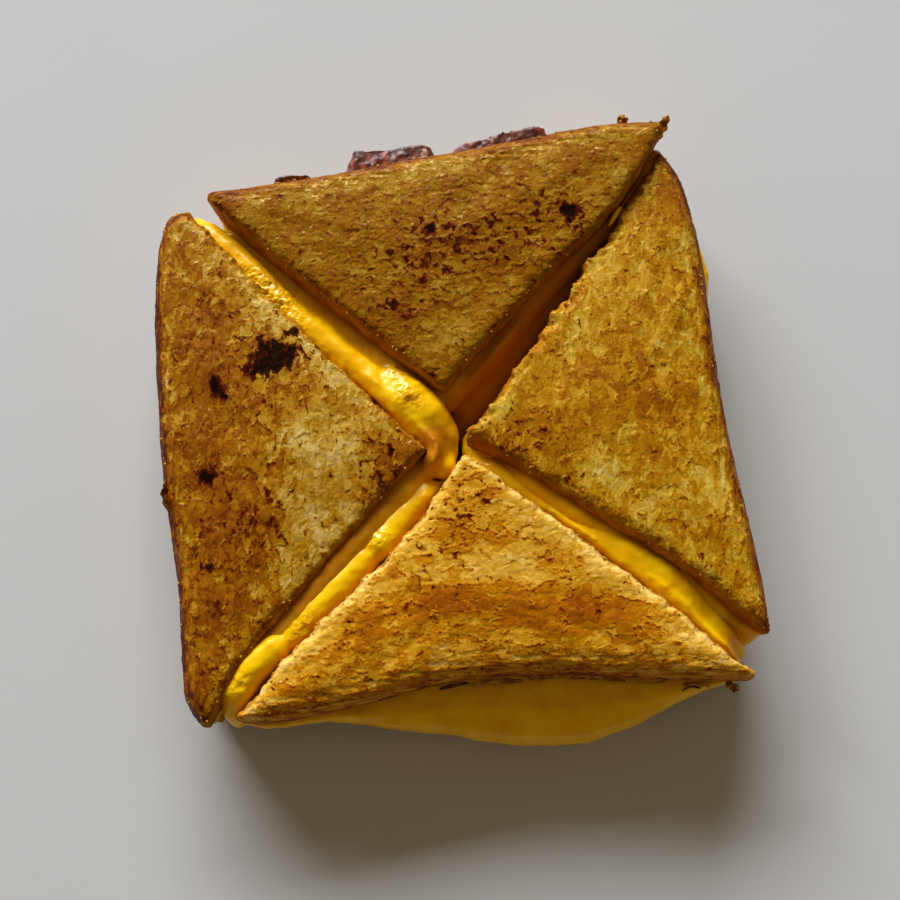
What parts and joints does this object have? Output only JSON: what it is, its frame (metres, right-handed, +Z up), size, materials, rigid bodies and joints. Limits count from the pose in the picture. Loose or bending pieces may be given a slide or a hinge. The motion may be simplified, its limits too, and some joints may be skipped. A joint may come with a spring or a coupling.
{
  "type": "grilled cheese sandwich",
  "caption": "Toasted cheese and bacon sandwich, cut corner to corner in an X, its quarters drawn slightly apart with melted cheese swelling from the cuts and hanging over one side.",
  "frame": {"origin": "middle of the sandwich's underside: halfway across its width in X and Y, at the height of the surface it rests on", "axes": "+Z up, out of the toasted top; +Y towards the side where the bacon ends show; the cheese hangs over the -Y side"},
  "size_m": [0.1482, 0.1526, 0.0333],
  "materials": {
    "toasted_bread": "golden brown toasted crumb, dry and rough, with dark brown specks and a darker crust",
    "toasted_bread_below": "golden brown toasted crumb, dry and rough, like the top slices",
    "melted_cheese": "smooth, glossy and slightly translucent, bright yellow-orange",
    "cooked_bacon": "greasy reddish brown meat with pale fat"
  },
  "bodies": {
    "root": {"top_bread_north": "toasted_bread", "top_bread_west": "toasted_bread", "top_bread_south": "toasted_bread", "top_bread_east": "toasted_bread", "cheese_north": "melted_cheese", "cheese_west": "melted_cheese", "cheese_south": "melted_cheese", "cheese_east": "melted_cheese", "bottom_bread_north": "toasted_bread_below", "bottom_bread_west": "toasted_bread_below", "bottom_bread_south": "toasted_bread_below", "bottom_bread_east": "toasted_bread_below", "bacon_west": "cooked_bacon", "bacon_middle": "cooked_bacon", "bacon_east": "cooked_bacon"}
  },
  "joints": []
}
